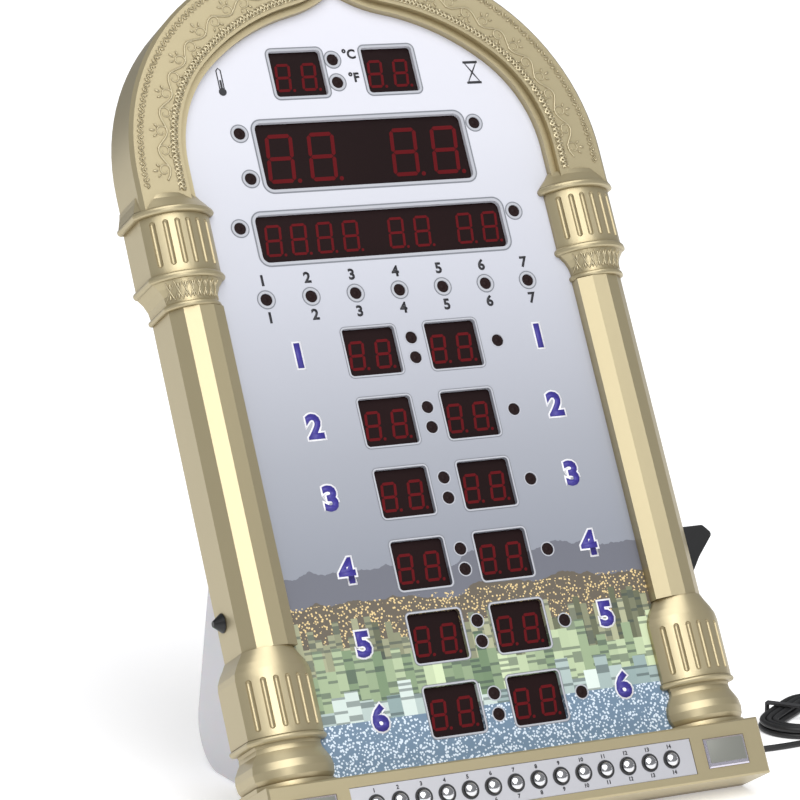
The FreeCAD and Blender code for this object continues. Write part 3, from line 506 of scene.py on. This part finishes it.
# Finishes of the pieces that come from the frame
finishes = {
    "case_moulding": goldPaint, "rear_cover": coverPlastic, "display_face": facePrint,
    "small_filters": filterAcrylic, "time_filter": filterAcrylic, "date_filter": filterAcrylic,
    "small_digits": segmentDim, "time_digits": segmentDim, "date_digits": segmentDim,
    "row_lamps": lampDark, "day_lamps": lampDark, "mode_lamps": lampDark,
    "display_board": boardGreen, "button_board": boardGreen, "power_board": boardGreen,
    "cover_screws": screwSteel, "board_screws": screwSteel, "board_standoffs": screwSteel,
    "hinge_pin": screwSteel, "transformer_core": screwSteel, "controller_chip": blackPlastic,
    "smoothing_capacitors": blackPlastic, "button_switches": blackPlastic, "cell_holder": blackPlastic,
    "left_control": blackPlastic, "right_control": blackPlastic, "backup_cell": chromeDome,
    "button_strip": silverPlate, "left_end_plate": bevelChrome, "right_end_plate": bevelChrome,
    "speaker_basket": pulpBlack, "speaker_magnet": screwSteel, "speaker_cone": pulpBlack,
    "transformer_winding": copperWire, "leg_tray": legPlastic, "hinge_brackets": bracketSteel,
    "leg_pads": padRubber, "side_lever": blackPlastic, "side_knob": blackPlastic,
    "mains_plug": blackPlastic, "strain_relief": blackPlastic, "cord_tie": tieBlack, "plug_pins": pinNickel,
}
for index in range(1, 15):
    finishes["button_%02d" % index] = chromeDome
for name, material in finishes.items():
    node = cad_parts[name]
    node.data.materials.clear()
    node.data.materials.append(material)
print("frame pieces finished")

# Windows and lamps on the face
face = dict(thick=0.0025, rowTop=0.2739, rowPitch=0.040, smallWide=0.0315, smallHigh=0.027, rowMiddle=0.00095,
            pairPitch=0.0499, colonPitch=0.0114, lampPlace=0.053, upperMiddle=0.4232, timeMiddle=0.3754,
            dateMiddle=0.3281, dayPitch=0.0267, dayHeight=0.2938, lampHole=0.0035)
rowMiddles = [face["rowTop"] - face["rowPitch"] * row - face["smallHigh"] / 2 for row in range(6)]
pairPlaces = [face["rowMiddle"] + side * face["pairPitch"] / 2 for side in (-1, 1)]
rowWindows = [(x, z) for z in rowMiddles for x in pairPlaces]
upperWindows = [(-0.0303, face["upperMiddle"]), (0.0266, face["upperMiddle"])]
wideWindows = [(-0.0006, face["timeMiddle"], 0.1272, 0.0389), (-0.0008, face["dateMiddle"], 0.1505, 0.0273)]
rowLamps = [(face["rowMiddle"], z + s * face["colonPitch"] / 2) for z in rowMiddles for s in (-1, 1)]
rowLamps += [(face["lampPlace"], z) for z in rowMiddles]
dayLamps = [(0.0006 + face["dayPitch"] * (k - 3), face["dayHeight"]) for k in range(7)]
modeLamps = [(-0.0736, 0.3894), (-0.0729, 0.3630), (0.0710, 0.3888), (-0.0856, 0.3350), (0.0826, 0.3350),
             (-0.0077, 0.4304), (-0.0077, 0.4168)]
# For each kind of window: the halo's corner and width, then the border's growth, corner and width
rims = dict(upper=(0.002, 0.0013, 0.0026, 0.0033, 0.0007), wide=(0.004, 0.0016, 0.0032, 0.0056, 0.0008),
            row=(0.002, 0.0009, 0.0020, 0.003, 0.00025))
printed.update(lift=-0.00008, haloThick=0.00012, borderThick=0.0002)
lampRing = dict(halo=0.0048, border=0.0054, rowHalo=0.0041, lensDeep=0.0006, lensGap=0.00005, lensThick=0.0003)
frames, halos = [], []


def rimWindow(x, z, wide, high, kind):
    corner, width, growth, outerCorner, outerWidth = rims[kind]
    halos.append(roundedFrame(x, printed["lift"], z, wide, high, corner, width, printed["haloThick"]))
    frames.append(roundedFrame(x, printed["lift"], z, wide + growth, high + growth, outerCorner, outerWidth,
                               printed["borderThick"]))


for x, z in upperWindows:
    rimWindow(x, z, face["smallWide"], face["smallHigh"], "upper")
for x, z, wide, high in wideWindows:
    rimWindow(x, z, wide, high, "wide")
for x, z in rowWindows:
    rimWindow(x, z, face["smallWide"], face["smallHigh"], "row")
for x, z in dayLamps + modeLamps:
    halos.append(ringDisc(x, printed["lift"], z, face["lampHole"], lampRing["halo"], printed["haloThick"]))
    frames.append(ringDisc(x, printed["lift"], z, lampRing["halo"], lampRing["border"], printed["borderThick"]))
for x, z in rowLamps:
    halos.append(ringDisc(x, printed["lift"], z, face["lampHole"], lampRing["rowHalo"], printed["haloThick"]))
finishPiece(joined(frames), "windowBorders", silverRing)
finishPiece(joined(halos), "windowHalos", paleRing)
lenses = [ringDisc(x, lampRing["lensDeep"], z, lampRing["lensGap"], face["lampHole"] - lampRing["lensGap"],
                   lampRing["lensThick"]) for x, z in dayLamps + modeLamps + rowLamps]
finishPiece(joined(lenses), "lampLenses", lampDark, smooth=0)
print("windows bordered")


# Unlit seven-segment figures
def figure(high, wide, stroke):
    bars = []
    for x, z, flat in ((0, high / 2, True), (0, 0, True), (0, -high / 2, True),
                       (-wide / 2, high / 4, False), (wide / 2, high / 4, False),
                       (-wide / 2, -high / 4, False), (wide / 2, -high / 4, False)):
        length = (wide if flat else high / 2) - stroke * 0.25
        clearPick()
        bpy.ops.mesh.primitive_plane_add(size=1, location=(x, 0, z), rotation=(pi / 2, 0, 0))
        segment = bpy.context.object
        segment.scale = (length, stroke, 1) if flat else (stroke, length, 1)
        bpy.ops.object.transform_apply(location=True, rotation=True, scale=True)
        bpy.ops.object.mode_set(mode="EDIT")
        bpy.ops.mesh.select_all(action="SELECT")
        bpy.ops.mesh.bevel(offset=stroke * 0.48, segments=1, affect="VERTICES")
        bpy.ops.object.mode_set(mode="OBJECT")
        bars.append(segment)
    point = ringDisc(wide / 2 + stroke * 1.4, 0, -high / 2 - stroke * 0.1, stroke * 0.05, stroke * 0.55,
                     0.00002)
    digit = joined(bars + [point])
    shear = Matrix.Identity(4)
    shear[0][2] = 0.12  # the figures slant to the right
    digit.data.transform(shear)
    return addModifier(digit, "SOLIDIFY", thickness=0.00005, offset=0)


def figures(name, high, wide, stroke, places):
    first = figure(high, wide, stroke)
    depth = face["thick"] + printed["lift"]
    copies = [copyOf(first, Matrix.Translation((x, depth, z))) for x, z in places]
    bpy.data.objects.remove(first)
    finishPiece(joined(copies), name, segmentDim, smooth=0)


figures("smallFigures", 0.0150, 0.0078, 0.0016,
        [(x - 0.0006 + s * 0.0079, z - 0.0014) for x, z in rowWindows + upperWindows for s in (-1, 1)])
timePlaces = (-0.0508, -0.0254, 0.0254, 0.0508)
figures("timeFigures", 0.0262, 0.0142, 0.0023, [(-0.0006 + x, face["timeMiddle"] - 0.0008) for x in timePlaces])
datePlaces = (-0.0655, -0.0503, -0.0348, -0.0190, 0.0090, 0.0250, 0.0515, 0.0675)
figures("dateFigures", 0.0166, 0.0084, 0.0015, [(-0.0008 + x, face["dateMiddle"] - 0.0005) for x in datePlaces])
print("figures drawn")

# Plain numbers and signs printed on the face
ink = dict(lift=-0.00010, heavy=0.035, dayAside=0.0106, dayHigh=0.0062, unitPlace=0.0030, unitHigh=0.0056,
           rowPlaces=(-0.0680, 0.0790), rowHigh=0.0135, outlineLift=-0.00004)
thermometer = dict(place=-0.0780, half=0.0013, foot=0.4160, shoulder=0.4268, top=0.4282, level=0.4212,
                   start=0.4150, bulb=0.4142)
hourglass = dict(place=0.0775, middle=0.4192, half=0.0036, high=0.0056, capHalf=0.0046, capHigh=0.0062)
labels = [lettering(str(k + 1), x, ink["lift"], face["dayHeight"] + side * ink["dayAside"], ink["dayHigh"],
                    ink["heavy"]) for k, (x, z) in enumerate(dayLamps) for side in (-1, 1)]
labels += [lettering(text, ink["unitPlace"], ink["lift"], z, ink["unitHigh"], ink["heavy"])
           for text, z in (("°C", 0.4330), ("°F", 0.4190))]


def line(places, thick):
    return wire([(x, ink["lift"], z) for x, z in places], thick)


middle, half = thermometer["place"], thermometer["half"]
signs = [line([(middle - half, thermometer["foot"]), (middle - half, thermometer["shoulder"]),
               (middle, thermometer["top"]), (middle + half, thermometer["shoulder"]),
               (middle + half, thermometer["foot"])], 0.00035),
         line([(middle, thermometer["start"]), (middle, thermometer["level"])], 0.0006),
         ball(0.0023, middle, ink["lift"], thermometer["bulb"], 20, 8, squash=0.1)]
for way in (-1, 1):
    middle, waist, half = hourglass["place"], hourglass["middle"], hourglass["half"]
    rim, cap = waist + way * hourglass["high"], waist + way * hourglass["capHigh"]
    signs.append(line([(middle, waist), (middle - half, rim), (middle + half, rim), (middle, waist)], 0.0005))
    signs.append(line([(middle - hourglass["capHalf"], cap), (middle + hourglass["capHalf"], cap)], 0.0007))
for piece in signs:  # pressed nearly flat onto the face
    piece.data.transform(Matrix.Translation((0, ink["lift"], 0)) @ Matrix.Diagonal((1, 0.1, 1, 1)))
finishPiece(joined(labels + signs), "faceSigns", inkBlack, smooth=0)
outlines, numbers = [], []
for row, z in enumerate(rowMiddles):
    for x in ink["rowPlaces"]:
        text = str(row + 1)
        outlines.append(lettering(text, x, ink["outlineLift"], z, ink["rowHigh"], 0.10, thick=0.00006))
        numbers.append(lettering(text, x, ink["lift"], z, ink["rowHigh"], 0.048, thick=0.00008))
finishPiece(joined(outlines), "rowNumberOutlines", inkWhite, smooth=0)
finishPiece(joined(numbers), "rowNumbers", inkBlue, smooth=0)
print("numbers printed")

# Plinth: button rings, tiny numbers and the end plates' inlays
plinth = dict(front=-0.0157, buttonHigh=0.0147, pitch=0.01354, stripFront=-0.0153, endPlace=0.1222,
              lift=0.0001, ringInner=0.0039, ringOuter=0.0050, ringThick=0.0005, numberAside=0.0070,
              numberHigh=0.0022, inlay=(0.0226, 0.0005, 0.0126), inlayOut=0.0009, inlayUp=0.0008)
buttonPlaces = [(index - 6.5) * plinth["pitch"] for index in range(14)]
dressed = plinth["stripFront"] - plinth["lift"]
ringPieces = [ringDisc(x, dressed, plinth["buttonHigh"], plinth["ringInner"], plinth["ringOuter"],
                       plinth["ringThick"]) for x in buttonPlaces]
finishPiece(joined(ringPieces), "buttonRings", darkRing)
tinyNumbers = [lettering(str(k + 1), x, dressed, plinth["buttonHigh"] + side * plinth["numberAside"],
                         plinth["numberHigh"], 0.03) for k, x in enumerate(buttonPlaces) for side in (-1, 1)]
finishPiece(joined(tinyNumbers), "buttonNumbers", inkBlack, smooth=0)
inlays = [bar(*plinth["inlay"], side * plinth["endPlace"], plinth["front"] - plinth["inlayOut"],
              plinth["buttonHigh"] + plinth["inlayUp"], bevel=0.0002) for side in (-1, 1)]
finishPiece(joined(inlays), "endInlays", greyInlay)
print("plinth dressed")


# Ornament of the arch band
archLine = dict(half=0.1433, spring=0.366, haunch=0.122, turn=62, flank=0.190, keel=0.045, apex=0.509)
faceLine = dict(half=0.1094, spring=0.3714, haunch=0.0742, turn=47.5, flank=0.1293, keel=0.072, apex=0.470)
bandFront = -0.0080


def keelPath(line, inset, foot, step=0.001):
    turn = radians(line["turn"])
    haunchX = line["half"] - line["haunch"]
    flankX = haunchX - (line["flank"] - line["haunch"]) * cos(turn)
    flankZ = line["spring"] - (line["flank"] - line["haunch"]) * sin(turn)
    reach, span = line["flank"] + line["keel"], hypot(flankX, line["apex"] - flankZ)
    along = (reach ** 2 - line["keel"] ** 2 + span ** 2) / (2 * span)
    aside = sqrt(reach ** 2 - along ** 2)
    ux, uz = -flankX / span, (line["apex"] - flankZ) / span
    keelX, keelZ = flankX + along * ux + aside * uz, flankZ + along * uz - aside * ux
    meet = atan2(keelZ - flankZ, keelX - flankX)
    haunch, flank, keel = line["haunch"] - inset, line["flank"] - inset, line["keel"] + inset
    tip = atan2(-sqrt(keel ** 2 - keelX ** 2), -keelX)
    count = max(2, int((line["spring"] - foot) / step))
    points = [(line["half"] - inset, foot + (line["spring"] - foot) * k / count) for k in range(count)]
    for cx, cz, radius, start, end in ((haunchX, line["spring"], haunch, 0, turn),
                                       (flankX, flankZ, flank, turn, meet),
                                       (keelX, keelZ, keel, meet - pi, tip)):
        count = max(3, int(abs(end - start) * radius / step))
        points += [(cx + radius * cos(start + (end - start) * k / count),
                    cz + radius * sin(start + (end - start) * k / count)) for k in range(count)]
    points.append((0.0, keelZ - sqrt(keel ** 2 - keelX ** 2)))
    return points


def walk(points, gap, start=0.0):
    stops, travelled, target = [], 0.0, start
    for (x0, z0), (x1, z1) in zip(points, points[1:]):
        length = hypot(x1 - x0, z1 - z0)
        while travelled + length >= target and length > 0:
            part = (target - travelled) / length
            stops.append((x0 + (x1 - x0) * part, z0 + (z1 - z0) * part, atan2(z1 - z0, x1 - x0), target))
            target += gap
        travelled += length
    return stops


def mirrored(piece):
    twin = copyOf(piece, Matrix.Diagonal((-1, 1, 1, 1)))
    pick(twin)
    bpy.ops.object.mode_set(mode="EDIT")
    bpy.ops.mesh.select_all(action="SELECT")
    bpy.ops.mesh.normals_make_consistent(inside=False)
    bpy.ops.object.mode_set(mode="OBJECT")
    return twin


def braid(path, line):
    strands = []
    for index in range(line["strands"]):
        track = []
        for x, z, heading, s in walk(path, 0.0006):
            phase = 2 * pi * (s / line["wave"] + index / line["strands"])
            aside = line["swing"] * sin(phase)
            track.append((x - sin(heading) * aside, bandFront - line["rise"] * cos(2 * phase),
                          z + cos(heading) * aside))
        strands.append(wire(track, line["fat"], resolution=1))
    return strands


def leafAt(x, y, z, angle, shape, around, rings):
    leaf = ball(1.0, 0, 0, 0, around, rings)
    leaf.data.transform(Matrix.Diagonal((*shape, 1)))
    leaf.data.transform(Matrix.Translation((x, y, z)) @ Matrix.Rotation(-angle, 4, "Y"))
    return leaf


def bothSides(pieces):
    half = joined(pieces)
    return joined([half, mirrored(half)])


relief = dict(leafFront=bandFront - 0.0001, leafHigh=0.0006, leafAround=8, leafRings=5)
border = dict(inset=0.0060, foot=0.358, strands=1, wave=0.0062, swing=0.0014, fat=0.00045, rise=0.0001,
              leafOut=0.0009, leafTurn=0.9, leaf=(0.0013, relief["leafHigh"], 0.0006))
borderPath = keelPath(archLine, border["inset"], border["foot"])
borderPieces = braid(borderPath, border)
for x, z, heading, s in walk(borderPath, border["wave"] / 2, border["wave"] / 4):
    way = 1 if sin(2 * pi * s / border["wave"]) > 0 else -1
    borderPieces.append(leafAt(x + sin(heading) * way * border["leafOut"], relief["leafFront"],
                               z - cos(heading) * way * border["leafOut"], heading - way * border["leafTurn"],
                               border["leaf"], relief["leafAround"], relief["leafRings"]))
finishPiece(bothSides(borderPieces), "archBorder", goldRelief, smooth=60)
chain = dict(outset=0.0080, foot=0.356, strands=3, wave=0.0075, swing=0.0019, fat=0.00062, rise=0.0003)
finishPiece(bothSides(braid(keelPath(faceLine, -chain["outset"], chain["foot"]), chain)), "archChain",
            goldRelief, smooth=60)
print("border and chain laid")

vine = dict(inset=0.0185, foot=0.362, step=0.0012, short=0.012, wave=0.0220, swing=0.0026, stem=0.00060,
            off=0.0006, curl=0.0030, eye=0.0007, turns=0.95, curlStops=20, curlFat=0.00055,
            leafLong=0.0017, leafWide=0.0007,
            leaves=((-0.7, 0.0046, 0.8), (0.0, 0.0054, 1.0), (0.7, 0.0046, 0.8)))


def scrolls():
    path = keelPath(archLine, vine["inset"], vine["foot"])
    stops = walk(path, vine["step"])
    total = stops[-1][3] - vine["short"]
    wave = total / round(total / vine["wave"])
    stem = []
    for x, z, heading, s in stops:
        if s > total:
            break
        swing = vine["swing"] * sin(2 * pi * s / wave)
        stem.append((x - sin(heading) * swing, bandFront, z + cos(heading) * swing))
    pieces = [wire(stem, vine["stem"], resolution=2)]
    for x, z, heading, s in walk(path, wave / 2, wave / 4):
        if s > total:
            break
        way = 1 if sin(2 * pi * s / wave) > 0 else -1
        centreX, centreZ = x + sin(heading) * way * vine["off"], z - cos(heading) * way * vine["off"]
        curl = []
        for k in range(vine["curlStops"]):
            share = k / (vine["curlStops"] - 1)
            radius = vine["curl"] * (1 - share) ** 0.7 + vine["eye"]
            angle = heading + way * (pi / 2 - 0.3 - share * 2 * pi * vine["turns"])
            curl.append((centreX + radius * cos(angle), bandFront, centreZ + radius * sin(angle)))
        pieces.append(wire(curl, vine["curlFat"], resolution=2, taper=lambda share: 1 - 0.4 * share))
        for spread, reach, size in vine["leaves"]:
            angle = heading - way * pi / 2 + spread
            pieces.append(leafAt(centreX + reach * cos(angle), relief["leafFront"],
                                 centreZ + reach * sin(angle), angle,
                                 (vine["leafLong"] * size, relief["leafHigh"], vine["leafWide"] * size),
                                 relief["leafAround"], relief["leafRings"]))
    return pieces


finishPiece(bothSides(scrolls()), "archVines", goldRelief, smooth=60)
palmette = dict(middle=0.4870, reach=0.0062, spread=0.42, side=3, long=0.0060, fall=0.0006, high=0.0014,
                wide=0.0019, eye=0.0022, eyeHeight=0.4862)
fan = []
for k in range(-palmette["side"], palmette["side"] + 1):
    angle = pi / 2 + k * palmette["spread"]
    petalShape = (palmette["long"] - palmette["fall"] * abs(k), palmette["high"], palmette["wide"])
    fan.append(leafAt(palmette["reach"] * cos(angle), relief["leafFront"],
                      palmette["middle"] + palmette["reach"] * sin(angle), angle, petalShape, 12, 8))
fan.append(ball(palmette["eye"], 0, bandFront - 0.0002, palmette["eyeHeight"], 14, 8, squash=0.8))
finishPiece(joined(fan), "archPalmette", goldRelief, smooth=60)
print("arch ornament carved")

# Lattice round the hollow under each capital, laid on the moulding
lattice = dict(place=0.1237, half=0.0150, low=0.2950, high=0.3045, waves=4, stops=48, fat=0.00045,
               leafHeights=(0.2970, 0.3025), leaf=(0.0007, 0.0006, 0.0017), castFrom=-0.06)
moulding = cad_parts["case_moulding"]
toMoulding = moulding.matrix_world.inverted() @ leanBack
fromMoulding = leanBack.inverted() @ moulding.matrix_world


def laidOn(x, z):
    start, way = toMoulding @ Vector((x, lattice["castFrom"], z)), toMoulding.to_3x3() @ Vector((0, 1, 0))
    hit, place = moulding.ray_cast(start, way)[:2]
    return (fromMoulding @ place).y if hit else 0.0


leaves = []
for side in (-1, 1):
    for shift in (0, 1):
        track = []
        for k in range(lattice["stops"] + 1):
            share = k / lattice["stops"]
            x = side * lattice["place"] + lattice["half"] * (2 * share - 1)
            climb = abs((share * lattice["waves"] + shift / 2) % 1 * 2 - 1)
            z = lattice["low"] + (lattice["high"] - lattice["low"]) * climb
            track.append((x, laidOn(x, z), z))
        leaves.append(wire(track, lattice["fat"], resolution=2))
    for k in range(2 * lattice["waves"]):
        x = side * lattice["place"] + lattice["half"] * ((k + 0.5) / lattice["waves"] - 1)
        for z in lattice["leafHeights"]:
            leaves.append(leafAt(x, laidOn(x, z), z, 0, lattice["leaf"], 8, 6))
finishPiece(joined(leaves), "capitalLeaves", goldRelief, smooth=60)
print("capitals carved")

# Floor, light and surroundings
studio = dict(floor=tone(246, 246, 247), glow=0.40, sky=tone(236, 238, 242), skyStrength=0.32, sun=2.35,
              sunSpread=60, sunWay=(0.10, 0.52, -0.85), key=9, keyPlace=(-0.35, -1.8, 1.3), keyAim=(0, 0, 0.2),
              keyWide=0.7, keyHigh=1.1)
clearPick()
bpy.ops.mesh.primitive_plane_add(size=40, location=(0, 8, 0))
floor = bpy.context.object
floor.name = "studioFloor"
paper = makeMaterial("studioPaper", studio["floor"], rough=0.9, grain=60, spread=0.0, bump=0.0,
                     Specular_IOR_Level=0.0, Emission_Color=studio["floor"], Emission_Strength=studio["glow"])
floor.data.materials.append(paper)
bpy.context.scene.view_settings.view_transform = "Standard"
world = bpy.data.worlds.new("studio")
bpy.context.scene.world = world
world.use_nodes = True
background = world.node_tree.nodes["Background"]
background.inputs["Color"].default_value = studio["sky"]
background.inputs["Strength"].default_value = studio["skyStrength"]


def placeLight(name, kind, place, way, **settings):
    data = bpy.data.lights.new(name, kind)
    for key, value in settings.items():
        setattr(data, key, value)
    lamp = bpy.data.objects.new(name, data)
    bpy.context.scene.collection.objects.link(lamp)
    lamp.location = place
    lamp.rotation_euler = way.to_track_quat("-Z", "Y").to_euler()


placeLight("skyLight", "SUN", (0, 0, 0), Vector(studio["sunWay"]), energy=studio["sun"],
           angle=radians(studio["sunSpread"]))
placeLight("keyLight", "AREA", studio["keyPlace"], Vector(studio["keyAim"]) - Vector(studio["keyPlace"]),
           shape="RECTANGLE", size=studio["keyWide"], size_y=studio["keyHigh"], energy=studio["key"])
print("studio lit")
